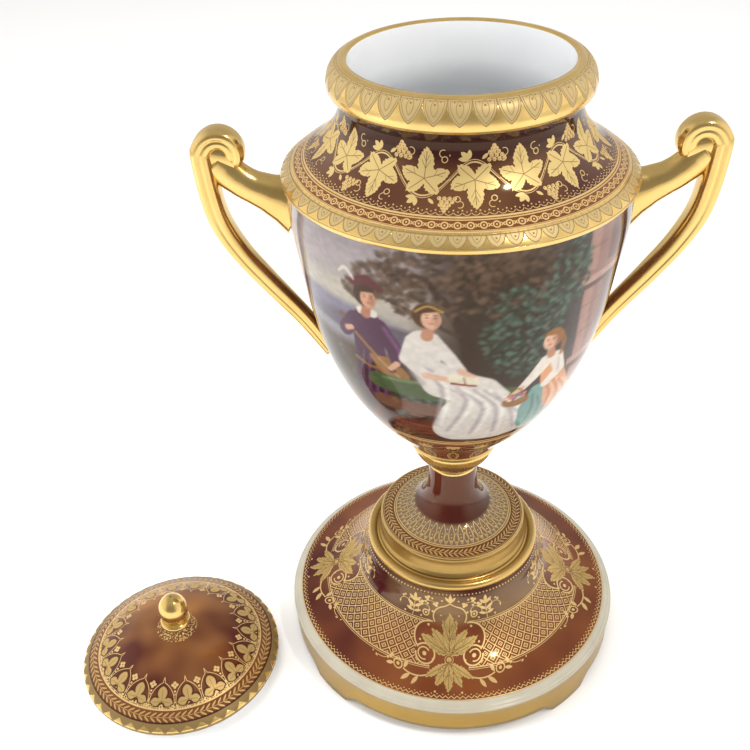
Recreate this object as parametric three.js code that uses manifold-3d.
// A covered mantel urn in painted and gilded porcelain, standing on a round plinth.
// The lid is off and lies beside the plinth. Millimetres, +Z up, floor at z = 0.
import * as THREE from 'three';
import { mergeVertices } from 'three/addons/utils/BufferGeometryUtils.js';
import Module from 'manifold-3d';

const wasm = await Module();
wasm.setup();

// ---------------------------------------------------------------- driving dimensions
const GAP = 0.3;                       // clearance between pieces that touch

const PLINTH = {
  radius: 125,                         // outer edge of the pale moulding
  skirt: { bottom: 8.5, radius: 124, wall: 7 },
  mouldingTop: 33.8,                   // inner edge of the pale moulding
  mouldingRadius: 118.4,
  edge: 28.5,                          // height of the pale moulding's outer edge
  feet: { count: 4, first: 45, width: 20, radius: 125, depth: 9 },
  collar: { radius: 63.8, top: 90.2, roll: 3.6 },
  seat: { radius: 57, height: 88.6 },  // shallow recess that takes the urn's foot
  wall: 6,
};

const FOOT = {
  drumRadius: 56,
  drumTop: { radius: 52.8, height: 105.7 },
  stem: { radius: 17.8, height: 138 },
  top: { radius: 17.4, height: 155.9 },
};

const VESSEL = {
  seat: { radius: 18.2, height: FOOT.top.height + GAP },
  knop: { radius: 31, height: 177 },
  arris: { radius: 105.7, height: 382.7 },
  neck: { radius: 69.5, height: 425.5 },
  lip: { radius: 76, height: 436.5 },
  crest: { radius: 67.5, height: 449 },
  bore: 63.5,                          // radius of the mouth inside the lip
};

const HANDLE = {
  turn: 3.6,                           // degrees that the handles' plane is turned about the axis
  depth: 18,                           // width of the scroll, square to the handles' plane
  scroll: { at: [141.5, 392], radius: 12.2, taper: 1.2, sweep: 3.9, thickness: 7.6 },
  armThickness: 11.5,
  eye: 9.4,
};

const LID = {
  at: [-205, -68],                     // beside the plinth, from the urn's axis
  radius: 74.1,
  edge: 13.5,                          // height of the widest edge above the flange's foot
  flange: { radius: 61.5, wall: 4.5 },
  dome: { radius: 61.1, height: 22.2 },
  collar: { radius: 10.6, height: 42.8 },
  ball: { radius: 10.5, height: 62.4 },
};

const SIDES = { plinth: 44, foot: 32, vessel: 36, lid: 32 };

// ---------------------------------------------------------------- shaping helpers
const V2 = (x, y) => new THREE.Vector2(x, y);

// Smooth run through a few stations [radius, height], given as evenly spread points.
const run = (stations, count) =>
  new THREE.SplineCurve(stations.map(([r, z]) => V2(r, z))).getSpacedPoints(count);

// Arc of a circle in the profile plane, between two angles in degrees.
const arc = (r, z, radius, from, to, count) => Array.from({ length: count + 1 }, (_, i) => {
  const a = THREE.MathUtils.degToRad(from + (to - from) * i / count);
  return V2(r + radius * Math.cos(a), z + radius * Math.sin(a));
});

const points = (...stations) => stations.map(([r, z]) => V2(r, z));

// A geometry as a manifold solid: positions only, welded, without collapsed triangles.
function solid(geometry) {
  const bare = new THREE.BufferGeometry();
  bare.setAttribute('position', geometry.attributes.position);
  if (geometry.index) bare.setIndex(geometry.index);
  const welded = mergeVertices(bare, 1e-3);
  const index = welded.index.array;
  const triangles = [];
  for (let i = 0; i < index.length; i += 3) {
    const [a, b, c] = [index[i], index[i + 1], index[i + 2]];
    if (a !== b && b !== c && c !== a) triangles.push(a, b, c);
  }
  const mesh = new wasm.Mesh({
    numProp: 3,
    vertProperties: new Float32Array(welded.attributes.position.array),
    triVerts: new Uint32Array(triangles),
  });
  return new wasm.Manifold(mesh);
}

// Body of revolution about +Z from a profile that starts and ends on the axis,
// listed from the underside, up the outside and back down the inside.
function turned(profile, sides) {
  const lathe = new THREE.LatheGeometry(profile, sides);
  lathe.rotateX(Math.PI / 2);
  return solid(lathe);
}

function geometryOf(manifold) {
  const { vertProperties, triVerts } = manifold.getMesh();
  const geometry = new THREE.BufferGeometry();
  geometry.setAttribute('position', new THREE.BufferAttribute(vertProperties, 3));
  geometry.setIndex(new THREE.BufferAttribute(triVerts, 1));
  geometry.computeVertexNormals();
  return geometry;
}

function piece(name, manifold, material) {
  const mesh = new THREE.Mesh(geometryOf(manifold), material);
  mesh.name = name;
  return mesh;
}

// ---------------------------------------------------------------- materials
const gilding = new THREE.MeshStandardMaterial({ color: 0xc9a04a, roughness: 0.25, metalness: 1 });
const maroonGlaze = new THREE.MeshStandardMaterial({ color: 0x4a1a17, roughness: 0.12, metalness: 0 });
const paintedGlaze = new THREE.MeshStandardMaterial({ color: 0x8a7a70, roughness: 0.15, metalness: 0 });
const lidGlaze = new THREE.MeshStandardMaterial({ color: 0x6a3a22, roughness: 0.12, metalness: 0 });

// ---------------------------------------------------------------- plinth
// A slip-cast shell, open beneath: a tall cove under the collar, a broad shallow slope,
// a pale moulding and a gilt skirt that ends in four bracket feet.
function plinth() {
  const { collar, seat, wall, skirt } = PLINTH;
  const outside = [
    ...points([skirt.radius, skirt.bottom], [skirt.radius - 0.6, PLINTH.edge - 6],
      [PLINTH.radius, PLINTH.edge], [122.5, 31.6], [PLINTH.mouldingRadius, PLINTH.mouldingTop]),
    ...run([[PLINTH.mouldingRadius - 0.5, 34.2], [96.5, 41], [80, 51.5], [72, 59.7], [67, 70], [64.6, 80],
      [collar.radius - 2.6, 83.4]], 6),
    ...arc(collar.radius - collar.roll, collar.top - collar.roll, collar.roll, -30, 150, 3),
    ...points([seat.radius, seat.height], [0, seat.height]),
  ];
  const inside = points([0, seat.height - wall], [seat.radius - wall, seat.height - wall],
    [61, 62], [74, 43], [95, 32.5], [skirt.radius - skirt.wall - 1, 26],
    [skirt.radius - skirt.wall, skirt.bottom]);
  const shell = turned([...inside, ...outside], SIDES.plinth);
  return feet().reduce((body, foot) => body.add(foot), shell);
}

// Bracket feet: short curved blocks that carry on the skirt's face down to the floor.
function feet() {
  const { count, first, width, radius, depth } = PLINTH.feet;
  const half = THREE.MathUtils.degToRad(width / 2);
  return Array.from({ length: count }, (_, i) => {
    const middle = THREE.MathUtils.degToRad(first + i * 360 / count);
    const outline = new THREE.Shape();
    outline.absarc(0, 0, radius - 0.4, middle - half, middle + half, false);
    outline.absarc(0, 0, radius - depth, middle + half, middle - half, true);
    return solid(new THREE.ExtrudeGeometry(outline, {
      depth: PLINTH.edge - 8, curveSegments: 4, bevelEnabled: false,
    }));
  });
}

// ---------------------------------------------------------------- foot and stem
// Drum that stands in the plinth's collar, a low flare and a short waisted stem.
function pedestalFoot() {
  const { drumRadius, drumTop, stem, top } = FOOT;
  const base = PLINTH.seat.height + GAP;
  return turned([
    ...points([0, base], [drumRadius - 1, base], [drumRadius, base + 1], [54.4, 93], [53.6, 103]),
    ...run([[drumTop.radius, drumTop.height], [42.7, 108.2], [32, 112.6], [24, 119.5], [19.4, 128.5],
      [stem.radius, stem.height], [top.radius, top.height - 3]], 8),
    ...points([top.radius, top.height], [0, top.height]),
  ], SIDES.foot);
}

// ---------------------------------------------------------------- vessel
// The knop, the hollow body, the neck and the rolled rim are one casting with both handles.
function vessel() {
  const { seat, knop, arris, neck, lip, crest, bore } = VESSEL;
  const outside = [
    ...points([0, seat.height], [seat.radius, seat.height], [seat.radius + 1.6, seat.height + 1.6]),
    ...run([[21, 159.5], [26.6, 166.5], [30, 173.5], [knop.radius, knop.height]], 3),
    ...points([knop.radius - 1.2, knop.height + 1], [knop.radius - 0.4, knop.height + 3]),
    ...run([[33.5, 182.5], [42.5, 194.5], [58.4, 213.5], [74.1, 238.5], [86.4, 268.5], [93.8, 298.5],
      [98.6, 328.5], [102, 353], [103.4, 372], [arris.radius - 1, arris.height - 2.5]], 9),
    ...points([arris.radius, arris.height]),
    ...run([[98.4, 389.4], [91.4, 394.2], [82, 401], [74, 410.5], [70.3, 419],
      [neck.radius, neck.height]], 5),
    ...points([lip.radius - 1.2, lip.height - 4.5]),
    ...run([[lip.radius, lip.height], [75, 441.6], [72, 446.2], [crest.radius, crest.height]], 3),
    ...points([bore + 0.8, crest.height]),
  ];
  const cavity = turned([
    ...points([0, 188]),
    ...run([[14, 190], [32, 198], [51.4, 217], [67.6, 240.5], [80.4, 268.5], [88.2, 298.5], [93.2, 328.5],
      [97.6, 356], [97.6, 377], [90, 389.5], [76, 401.5], [66, 413]], 7),
    ...points([bore, neck.height - 1], [bore, crest.height + 20], [0, crest.height + 20]),
  ], SIDES.vessel);
  let body = turned([...outside, ...points([bore, crest.height - 1], [0, crest.height - 1])], SIDES.vessel);
  for (const side of [0, 180]) body = body.add(handle(side));
  return body.subtract(cavity);
}

// Section of a handle bar, one unit to each side: a plain outer face and a channel sunk
// between two ridges along both broad faces.
const CHANNELLED = [[1, -0.55], [1, 0.55], [0.62, 1], [0.12, 0.7], [-0.4, 1], [-1, 0.6],
  [-1, -0.6], [-0.4, -1], [0.12, -0.7], [0.62, -1]];

// A straight bar bent along a curve in the handles' plane (x outward, y up). Its thickness
// in the plane and its depth square to it follow the two functions of the way along.
function bentBar(curve, steps, thickness, depth) {
  const section = new THREE.Shape(CHANNELLED.map(([x, y]) => V2(x, y)));
  const bar = new THREE.ExtrudeGeometry(section, { depth: 1, steps, bevelEnabled: false });
  const at = bar.attributes.position;
  for (let i = 0; i < at.count; i++) {
    const way = at.getZ(i);
    const middle = curve.getPointAt(way);
    const along = curve.getTangentAt(way);
    const out = at.getX(i) * thickness(way) / 2;
    at.setXYZ(i, middle.x + along.y * out, at.getY(i) * depth(way) / 2, middle.y - along.x * out);
  }
  return solid(bar);
}

// Value that follows a few levels spread evenly over the way along.
const graded = (...levels) => (way) => {
  const place = way * (levels.length - 1);
  const i = Math.min(Math.floor(place), levels.length - 2);
  return THREE.MathUtils.lerp(levels[i], levels[i + 1], place - i);
};

// One handle: a lower arm that sweeps up from the body into a volute, the volute's eye,
// and an upper arm that ties the volute to the body under the shoulder.
function handle(side) {
  const { scroll, depth, armThickness, eye, turn } = HANDLE;
  const [cx, cz] = scroll.at;
  const volute = Array.from({ length: 10 }, (_, i) => {
    const angle = scroll.sweep * i / 9;
    const radius = scroll.radius - scroll.taper * Math.max(0, angle - Math.PI / 2);
    return V2(cx + radius * Math.cos(angle), cz + radius * Math.sin(angle));
  });
  const lowerArm = new THREE.SplineCurve([
    ...points([83, 253], [98, 278.5], [120.7, 308.5], [134.7, 328.5], [144.8, 348.5], [149.6, 368.5]),
    ...volute,
  ]);
  const upperArm = new THREE.SplineCurve(
    points([97, 361], [107, 365.5], [116, 369.5], [127, 376], [139, 385]));
  const parts = [
    bentBar(lowerArm, 24, graded(8, 10.4, 11, 11.4, armThickness, 12.2, 9.4, scroll.thickness, 7, 6),
      graded(9, 11.5, 13, 14.5, 16, 17, depth, depth, depth, depth)),
    bentBar(upperArm, 6, graded(34, 24, 17.5, 15.5, 13), graded(24, 20, 18, 17, 16)),
    solid(new THREE.CylinderGeometry(eye, eye, depth - 1.5, 16).translate(cx - 0.6, 0, cz)),
  ];
  return parts.reduce((whole, part) => whole.add(part)).rotate([0, 0, side + turn]);
}

// ---------------------------------------------------------------- lid
// A low dome with a rolled edge, a locating flange under it and a ball knob on a collar.
function lid() {
  const { radius, edge, flange, dome, collar, ball } = LID;
  const outside = [
    ...points([flange.radius - 1, 0], [flange.radius, 1], [flange.radius, edge - 4],
      [radius - 1.6, edge - 4], [radius, edge - 2], [radius, edge], [radius - 1.4, 15.6]),
    ...run([[67.5, 18.8], [dome.radius, dome.height], [50, 28.5], [36, 34.6],
      [22, 38.6], [collar.radius + 1.4, 40.4]], 5),
    ...arc(collar.radius - 2.4, collar.height, 2.4, -50, 80, 2),
    ...points([6.6, 47]),
    ...arc(0, ball.height, ball.radius, -54, 90, 5),
  ];
  const inside = points([0, 35], [20, 33.6], [36, 29.6], [50, 23.4], [flange.radius - flange.wall, 17.5],
    [flange.radius - flange.wall, 1], [flange.radius - flange.wall + 1, 0]);
  return turned([...inside, ...outside], SIDES.lid);
}

// ---------------------------------------------------------------- the set
const urn = new THREE.Group();
urn.add(
  piece('plinth', plinth(), maroonGlaze),
  piece('pedestal_foot', pedestalFoot(), gilding),
  piece('vessel', vessel(), paintedGlaze),
);
const looseLid = piece('lid', lid(), lidGlaze);
looseLid.position.set(LID.at[0], LID.at[1], 0);

// The origin is on the floor, at the middle of the whole set.
const set = new THREE.Group();
set.add(urn, looseLid);
set.updateMatrixWorld(true);
const box = new THREE.Box3().setFromObject(set, true);
set.position.set(-(box.min.x + box.max.x) / 2, -(box.min.y + box.max.y) / 2, 0);

export default set;
